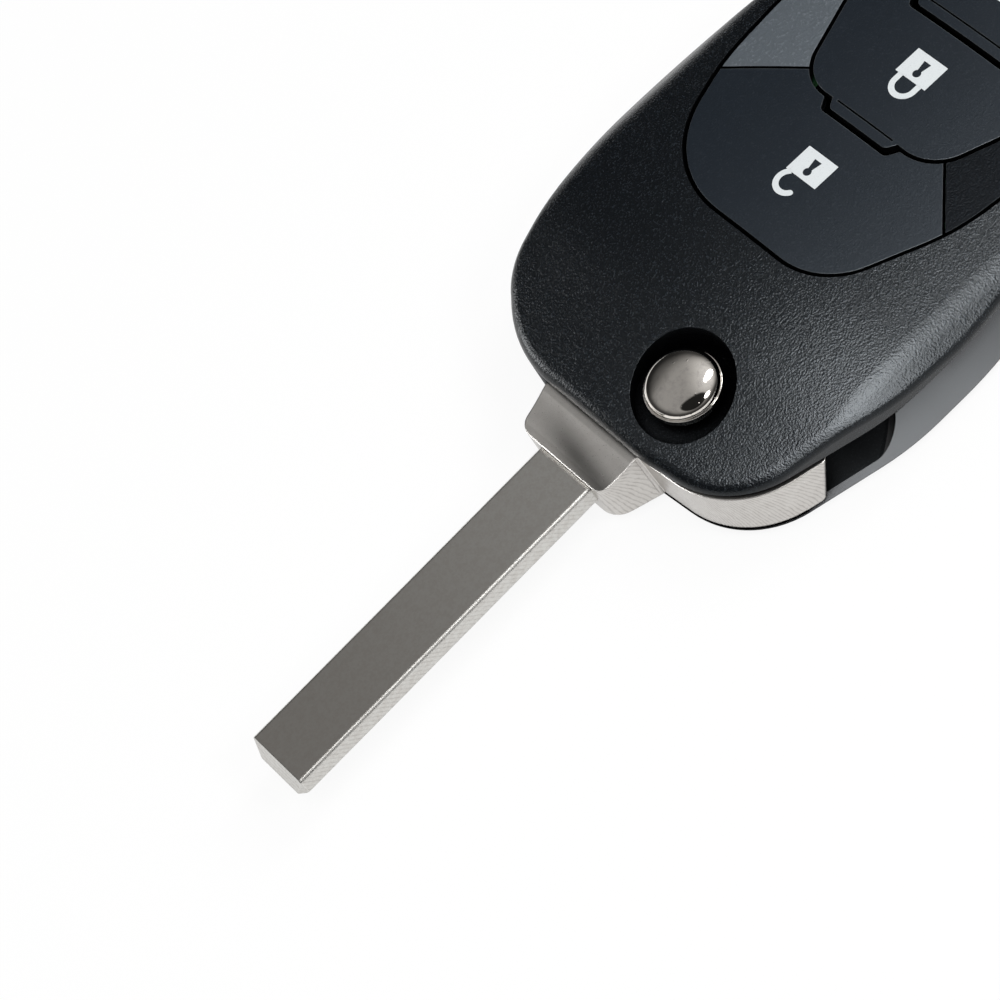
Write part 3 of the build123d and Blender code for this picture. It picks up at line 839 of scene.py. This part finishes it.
@dataclass
class PrintedSigns:
    """The white signs on the three caps: padlock open, padlock shut and car with its boot up.

    Places along the key are counted from the blade's pivot.
    """

    face: PadFace
    pivot_x: float
    lock_near: float = 22.75 * MM
    shut_near: float = 37.5 * MM
    hook_centre: float = 21.72 * MM
    bow_centre: float = 36.7 * MM
    open_middle: float = 0.12 * MM
    shut_middle: float = -0.17 * MM
    body_length: float = 3.25 * MM
    body_half: float = 2.05 * MM
    hole_from_front: float = 0.95 * MM
    hole_radius: float = 0.45 * MM
    slot_neck: float = 0.24 * MM
    slot_mouth: float = 0.47 * MM
    slot_from_front: float = 2.5 * MM
    bow_radius: float = 1.28 * MM
    bow_half: float = 0.32 * MM
    proud: float = 0.015 * MM
    thickness: float = 0.045 * MM
    outline_steps: int = 240
    across_steps: int = 7
    tiny: float = 1e-9
    hook_middle: float = 0.75 * MM
    hook_turn: Pair = (48.0, 233.0)
    hook_leg: float = 0.35 * MM
    shackle_turn: Pair = (90.0, 270.0)
    shackle_leg: float = 0.85 * MM
    bow_steps: int = 48
    bow_across: int = 5
    tip_steps: int = 6
    tip_share: float = 0.98
    car_roof: float = 49.55 * MM
    car_length: float = 3.9 * MM
    car_middle: float = -0.25 * MM
    car_bonnet: float = 1.35 * MM
    car_sill: float = 2.1 * MM
    car_steps: int = 140
    windscreen: Pair = (0.2, 0.18)
    rear_screen: Pair = (0.86, 0.14)
    wheels: Pair = (0.24, 0.76)
    wheel_half: float = 0.11
    wheel_drop: float = 0.5 * MM
    lid_root: Pair = (0.35 * MM, 0.9 * MM)
    lid_tip: Pair = (-0.6 * MM, 2.0 * MM)
    lid_half: float = 0.17 * MM
    lid_steps: int = 8
    lid_across: int = 3

    def keyhole(self, angle: Array) -> tuple[Array, Array]:
        """Outline of the keyhole about its round end: circle of radius r joined to a flared slot.

        Args:
            angle: directions, from 0 to a full turn, with 0 along the slot.

        Returns:
            x and y of the outline. In the slot's directions the reach is mouth / cos(angle),
            held inside the slot's straight flared sides.
        """
        reach = self.slot_from_front - self.hole_from_front
        turned = np.angle(np.exp(1j * angle))
        corner = math.atan2(self.slot_mouth, reach)
        neck_x = math.sqrt(self.hole_radius ** 2 - self.slot_neck ** 2)
        neck = math.atan2(self.slot_neck, neck_x)
        share = np.clip((neck - np.abs(turned)) / (neck - corner), 0, 1)
        side_x = neck_x + (reach - neck_x) * share
        side_y = self.slot_neck + (self.slot_mouth - self.slot_neck) * share
        in_mouth, in_side = np.abs(turned) <= corner, np.abs(turned) < neck
        round_x, round_y = self.hole_radius * np.cos(turned), self.hole_radius * np.sin(turned)
        side_y = side_y * np.sign(turned)
        x = np.where(in_mouth, reach, np.where(in_side, side_x, round_x))
        y = np.where(in_mouth, reach * np.tan(turned), np.where(in_side, side_y, round_y))
        return x, y

    def body(self, near: float, middle: float) -> tuple[Array, Array]:
        """Padlock body with its keyhole.

        Args:
            near: where the body starts along the key, from the pivot.
            middle: where its middle lies across the key.

        Returns:
            x and y of rings from the keyhole, k, out to a rectangle, e: k + s (e - k), s from 0 to 1.
        """
        angle = np.linspace(0, math.tau, self.outline_steps, endpoint=False)[:, None]
        hole_x, hole_y = self.keyhole(angle)
        front, back = self.hole_from_front, self.body_length - self.hole_from_front
        cos, sin = np.cos(angle), np.sin(angle)
        reach_x = np.where(cos > 0, back, front) / np.maximum(np.abs(cos), self.tiny)
        reach = np.minimum(reach_x, self.body_half / np.maximum(np.abs(sin), self.tiny))
        share = np.linspace(0, 1, self.across_steps)[None, :]
        x = hole_x + share * (reach * cos - hole_x)
        y = hole_y + share * (reach * sin - hole_y)
        return near + front + x, middle + y

    def bow(self, centre: Pair, turn: Pair, leg: float, round_end: bool) -> tuple[Array, Array]:
        """Shackle: a band of even width round an arc, with a straight leg before and after it.

        Args:
            centre: the arc's centre.
            turn: the arc's first and last direction, in degrees.
            leg: the length of each straight leg along the tangent, where the end isn't round.
            round_end: whether the far end is a half circle instead of a leg.

        Returns:
            x and y of the band's grid: centre + (R + s h) (cos t, sin t), with s from -1 to 1.
        """
        start, end = (math.radians(side) for side in turn)
        angle = np.radians(np.linspace(*turn, self.bow_steps))[:, None]
        side = np.linspace(-1, 1, self.bow_across)[None, :]
        reach = self.bow_radius + side * self.bow_half
        x, y = centre[0] + reach * np.cos(angle), centre[1] + reach * np.sin(angle)
        near_x, near_y = x[:1] + leg * math.sin(start), y[:1] - leg * math.cos(start)
        if round_end:
            tip = np.linspace(0, 1, self.tip_steps)[1:, None] * self.tip_share
            half = self.bow_half * np.sqrt(1 - tip ** 2)
            along = self.bow_half * tip / self.bow_radius + end
            reach = self.bow_radius + side * half
            far_x, far_y = centre[0] + reach * np.cos(along), centre[1] + reach * np.sin(along)
        else:
            far_x, far_y = x[-1:] - leg * math.sin(end), y[-1:] + leg * math.cos(end)
        return np.concatenate([near_x, x, far_x]), np.concatenate([near_y, y, far_y])

    def car(self) -> tuple[Array, Array]:
        """Side view of a car, seen with its roof towards the blade.

        Returns:
            x and y of a grid between its sill and its roof line. With u from 0 at the nose to 1 at
            the tail, the roof line is a smooth step, 3 c^2 - 2 c^3, over each screen, and each wheel
            is half an oval.
        """
        u = np.linspace(0, 1, self.car_steps)[:, None]
        y = (u - 0.5) * self.car_length + self.car_middle
        (screen, slope), (back, fall) = self.windscreen, self.rear_screen
        cabin = np.clip(np.minimum((u - screen) / slope, (back - u) / fall), 0, 1)
        upper = self.car_bonnet * (1 - cabin * cabin * (3 - 2 * cabin))
        wheels = sum(np.sqrt(np.clip(1 - ((u - hub) / self.wheel_half) ** 2, 0, 1)) for hub in self.wheels)
        lower = self.car_sill + self.wheel_drop * wheels
        share = np.linspace(0, 1, self.across_steps)[None, :]
        return self.car_roof + lower + share * (upper - lower), y + 0 * share

    def lid(self) -> tuple[Array, Array]:
        """Raised boot lid: a band of even width along a straight line from the roof's tail end.

        Returns:
            x and y of the band's grid: start + a (end - start) + s n, with a from 0 to 1, s from
            minus to plus half the width, and n the line's normal.
        """
        start = np.array([self.car_roof, 0]) + self.lid_root
        end = np.array([self.car_roof, 0]) + self.lid_tip
        along = np.linspace(0, 1, self.lid_steps)[:, None]
        side = np.linspace(-1, 1, self.lid_across)[None, :] * self.lid_half
        reach = end - start
        across_x, across_y = reach[::-1] * (-1, 1) / np.linalg.norm(reach)
        return start[0] + along * reach[0] + side * across_x, start[1] + along * reach[1] + side * across_y

    def plate(self, name: str, body: str, parts: list[tuple[Array, Array, bool]]) -> None:
        """Joins inlaid parts into one printed sign that rides on a body.

        Args:
            name: the sign's name.
            body: the moving body that carries it.
            parts: each part's x and y, and whether its last row joins the first.
        """
        points, faces, count = [], [], 0
        for x, y, ring in parts:
            new_points, new_faces = Surface.inlay(
                x + self.pivot_x, y, self.face.level(self.proud), self.thickness, ring)
            points.append(new_points)
            faces.append(new_faces + count)
            count += len(new_points)
        sign = Surface.piece(name, np.concatenate(points), np.concatenate(faces), False)
        INK.dress(sign)
        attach(sign, body)
        log.info("%s: %d faces on %s", name, len(sign.data.polygons), body)

    def build(self) -> None:
        """Makes the three signs."""
        hook = self.bow((self.hook_centre, self.hook_middle), self.hook_turn, self.hook_leg, True)
        body = self.body(self.lock_near, self.open_middle)
        self.plate("unlock_sign", "unlock", [(*body, True), (*hook, False)])
        bow = self.bow((self.bow_centre, self.shut_middle), self.shackle_turn, self.shackle_leg, False)
        body = self.body(self.shut_near, self.shut_middle)
        self.plate("lock_sign", "lock", [(*body, True), (*bow, False)])
        self.plate("boot_sign", "boot", [(*self.car(), False), (*self.lid(), False)])


@dataclass
class ReleaseButton:
    """The plated push button: a low dome inside a rolled rim, on its stem."""

    node: str = "release_button"
    inset: float = 0.04 * MM
    rim_round: float = 0.12 * MM
    groove: float = 0.03 * MM
    stem_radius: float = 2.0 * MM
    rim_height: float = 0.85 * MM
    foot_round: float = 0.05 * MM
    dome_rise: float = 1.65 * MM
    fullness: float = 2.3
    rim_turn: Pair = (-90.0, 120.0)
    rim_steps: int = 22
    dome_from: float = 0.06
    dome_steps: int = 48

    def profile(self) -> Array:
        """Half outline (r, z) from the stem's foot to the dome's top.

        Returns:
            Points of the stem, of the rim's round, a quarter turn out and a half turn in, and of
            the dome, fuller than an oval: (r / r0)^f + ((z - edge) / rise)^f = 1.
        """
        low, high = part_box(self.node)
        radius, top = (high.x - low.x) / 2 - self.inset, high.z
        edge = top - self.dome_rise
        base = edge - self.rim_height
        around = np.radians(np.linspace(*self.rim_turn, self.rim_steps))
        rim = np.stack([radius - self.rim_round + self.rim_round * np.cos(around),
                        edge - self.rim_round + self.rim_round * np.sin(around)], axis=-1)
        dome_edge = radius - self.rim_round - self.groove
        turn = np.linspace(self.dome_from, math.pi / 2, self.dome_steps)
        share = 2 / self.fullness
        out, up = np.cos(turn).clip(0) ** share, np.sin(turn) ** share
        dome = np.stack([dome_edge * out, edge + self.dome_rise * up], axis=-1)
        stem = np.array([[0, low.z], [self.stem_radius, low.z], [self.stem_radius, base],
                         [radius - self.foot_round, base], [radius, base + self.foot_round]])
        return np.concatenate([stem, rim, dome])

    def build(self) -> None:
        """Turns the profile about the release joint's axis."""
        axis = joint_point("blade_flip")
        made = Surface.turned("release_button_dome", self.profile(), Vector((axis.x, axis.y, 0)))
        CHROME.dress(made)
        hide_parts(self.node)
        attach(made, "release")
        log.info("release_button_dome: %d faces", len(made.data.polygons))


@dataclass
class CadFinishes:
    """Finishes of the CAD nodes that keep their own shape."""

    def build(self) -> None:
        """Dresses every node by name."""
        finishes = {
            "front_case": CASE, "rear_case": REAR, "unlock_button": PAD, "lock_button": PAD,
            "boot_button": PAD, "left_panel": LEFT, "right_panel": RIGHT, "board_tray": INNER,
            "keypad_mat": RUBBER, "radio_chip": CHIP, "crystal": SWITCH, "antenna_coil": CHIP,
            "circuit_board": BOARD, "unlock_switch": SWITCH, "lock_switch": SWITCH,
            "boot_switch": SWITCH, "coin_cell": CELL, "plus_contact": CONTACT,
            "minus_contact": CONTACT, "blade_carrier": BLOCK, "key_blade": BLADE,
            "blade_pin": STEEL, "release_button": CHROME, "latch_plunger": INNER, "flip_spring": STEEL,
        }
        for name, finish in finishes.items():
            finish.dress(frame["nodes"][name])
            log.info("%s: %s", name, finish.name)


PLASTICS = ("front_case", "rear_case", "unlock_button", "lock_button", "boot_button", "left_panel",
            "right_panel")
METALS = ("key_blade", "blade_carrier")


@dataclass(frozen=True)
class SoftBox:
    """A lamp: its direction from the key, its width and height, and its level.

    The level is the lamp's power over the area of a sphere through the key, 4 pi distance^2.
    A soft box may light without a reflection, or show only as a reflection on some nodes.
    """

    name: str
    towards: Triple
    size: Pair
    level: float
    glossy: bool = True
    only_on: tuple[str, ...] = ()


@dataclass
class Studio:
    """Camera, pale floor, soft lamps and the surroundings that metal reflects.

    The camera's eye is counted from the pivot, and right and down run along the picture's sides.
    """

    pivot: Vector
    eye: Triple = (-56.71 * MM, -192.72 * MM, 320.93 * MM)
    right: Triple = (0.7006323, -0.6374612, -0.3205583)
    down: Triple = (-0.7067080, -0.5580246, -0.4349394)
    lens: float = 139.53
    sensor: float = 36.0
    clip: Pair = (0.01, 20.0)
    distance: float = 0.9
    floor_half: float = 3.0
    floor_gap: float = 0.02 * MM
    floor_grain: float = 40 * MM
    floor_tones: tuple[Colour, Colour] = ((0.9, 0.9, 0.9, 1.0), (0.92, 0.92, 0.92, 1.0))
    glow: float = 0.9
    mirrored_glow: float = 0.66
    low_sky: float = 0.05
    overhead: float = 0.34
    sky_rise: Pair = (0.25, 0.75)
    sky_tone: Colour = (1.0, 0.99, 0.975, 1.0)
    far_side: Triple = (0.0, 1.0, 0.3)
    far_edge: Pair = (0.75, 0.95)
    far_dimming: float = 0.6
    window: Triple = (0.71, 0.0, 0.7)
    window_edge: Pair = (0.72, 1.1)
    dark_spot: Triple = (-0.13, -0.5, 0.85)
    spot_edge: Pair = (0.87, 0.91)
    spot_dimming: float = 0.95
    boxes: tuple[SoftBox, ...] = (
        SoftBox("fill_box", (-0.2, -0.3, 0.93), (0.6, 0.6), 0.45, glossy=False),
        SoftBox("window_box", window, (0.22, 0.6), 0.2),
        SoftBox("shoulder_box", (0.36, -0.62, 0.7), (0.28, 0.28), 0.2),
        SoftBox("right_sheen", (-0.05, -0.38, 0.92), (0.66, 0.8), 3.1, only_on=PLASTICS),
        SoftBox("low_sheen", (-0.1, -0.88, 0.42), (0.7, 0.4), 1.2, only_on=PLASTICS),
        SoftBox("edge_sheen", (-0.56, 0.79, 0.25), (0.2, 0.35), 0.3, only_on=PLASTICS),
        SoftBox("side_glint", (0.15, -0.4, 0.9), (0.5, 0.6), 0.26, only_on=METALS),
        SoftBox("front_glint", (-0.6, 0.5, 0.62), (0.5, 0.4), 0.5, only_on=METALS[1:]),
    )

    def camera(self) -> None:
        """Camera at the photograph's viewing angle."""
        data = bpy.data.cameras.new("photo_camera")
        data.lens, data.sensor_width = self.lens, self.sensor
        data.clip_start, data.clip_end = self.clip
        made = bpy.data.objects.new("photo_camera", data)
        right, up = Vector(self.right), -Vector(self.down)
        turn = Matrix((right, up, right.cross(up))).transposed().to_4x4()
        made.matrix_world = Matrix.Translation(self.pivot + Vector(self.eye)) @ turn
        bpy.context.scene.collection.objects.link(made)
        bpy.context.scene.camera = made

    def floor(self) -> None:
        """Pale floor that glows to the camera and in reflections, and still shows the shadow."""
        half, level = self.floor_half, -self.floor_gap
        ways = ((-1, -1), (1, -1), (1, 1), (-1, 1))
        corners = np.array([[x * half, y * half, level] for x, y in ways])
        made = Surface.piece("floor", corners, [[0, 1, 2, 3]], False)
        material = bpy.data.materials.new("floor_white")
        material.use_nodes = True
        graph = Graph(material.node_tree)
        tone = graph.blend(*self.floor_tones, graph.noise(graph.place(), self.floor_grain))
        pale = graph.node("ShaderNodeBsdfDiffuse", inputs={"Color": tone})
        white = graph.node("ShaderNodeEmission", inputs={"Color": WHITE, "Strength": 1.0})
        seen, glossy, passed = (graph.node("ShaderNodeLightPath", output=f"Is {kind} Ray")
                                for kind in ("Camera", "Glossy", "Transmission"))
        factor = seen * self.glow + (glossy + passed) * self.mirrored_glow
        both = graph.node("ShaderNodeMixShader", inputs={0: factor, 1: pale, 2: white})
        graph.node("ShaderNodeOutputMaterial", inputs={"Surface": both})
        made.data.materials.append(material)

    def surroundings(self) -> None:
        """World that is grey, darker near the horizon, with a pale window on the key-ring side."""
        world = bpy.data.worlds.new("studio")
        bpy.context.scene.world = world
        world.use_nodes = True
        graph = Graph(world.node_tree)
        height = graph.axes(graph.node("ShaderNodeTexCoord", output="Generated"))[2]
        rise = height.between(*self.sky_rise) * (self.overhead - self.low_sky) + self.low_sky
        rise = rise * (1 - self.far_dimming * graph.towards(self.far_side).between(*self.far_edge))
        pane = graph.towards(self.window).between(*self.window_edge) * (1 - self.overhead)
        spot = graph.towards(self.dark_spot).between(*self.spot_edge)
        level = (rise + pane) * (1 - self.spot_dimming * spot)
        tone = graph.blend(self.sky_tone, WHITE, level)
        back = graph.node("ShaderNodeBackground", inputs={"Color": tone, "Strength": level})
        graph.node("ShaderNodeOutputWorld", inputs={"Surface": back})

    def lamp(self, box: SoftBox) -> None:
        """Adds one lamp: an oval one that lights the key, or an oblong one that only shows in it.

        Args:
            box: the lamp's direction, size, level and limits.
        """
        data = bpy.data.lights.new(box.name, "AREA")
        data.shape, data.size, data.size_y = "ELLIPSE", *box.size
        data.energy = box.level * 4 * math.pi * self.distance ** 2
        made = bpy.data.objects.new(box.name, data)
        way = Vector(box.towards).normalized()
        made.location = way * self.distance
        made.rotation_mode = "QUATERNION"
        made.rotation_quaternion = way.to_track_quat("Z", "Y")
        made.visible_glossy = box.glossy
        if box.only_on:
            data.shape = "RECTANGLE"
            made.visible_diffuse = False
            group = bpy.data.collections.new(f"{box.name}_nodes")
            for name in box.only_on:
                group.objects.link(frame["nodes"][name])
            made.light_linking.receiver_collection = group
        bpy.context.scene.collection.objects.link(made)

    def build(self) -> None:
        """Sets up the studio."""
        view = bpy.context.scene.view_settings
        view.view_transform = "Standard"
        self.camera()
        self.floor()
        self.surroundings()
        for box in self.boxes:
            self.lamp(box)
        log.info("studio: camera, floor, surroundings and lamps")


def main() -> None:
    """Dresses the key and sets up its studio."""
    logging.basicConfig(level=logging.INFO, format="%(name)s %(message)s")
    CadFinishes().build()
    ReleaseButton().build()
    pivot = joint_point("blade_flip")
    PrintedSigns(PadFace(), pivot.x).build()
    Studio(pivot).build()


if __name__ == "__main__":
    main()
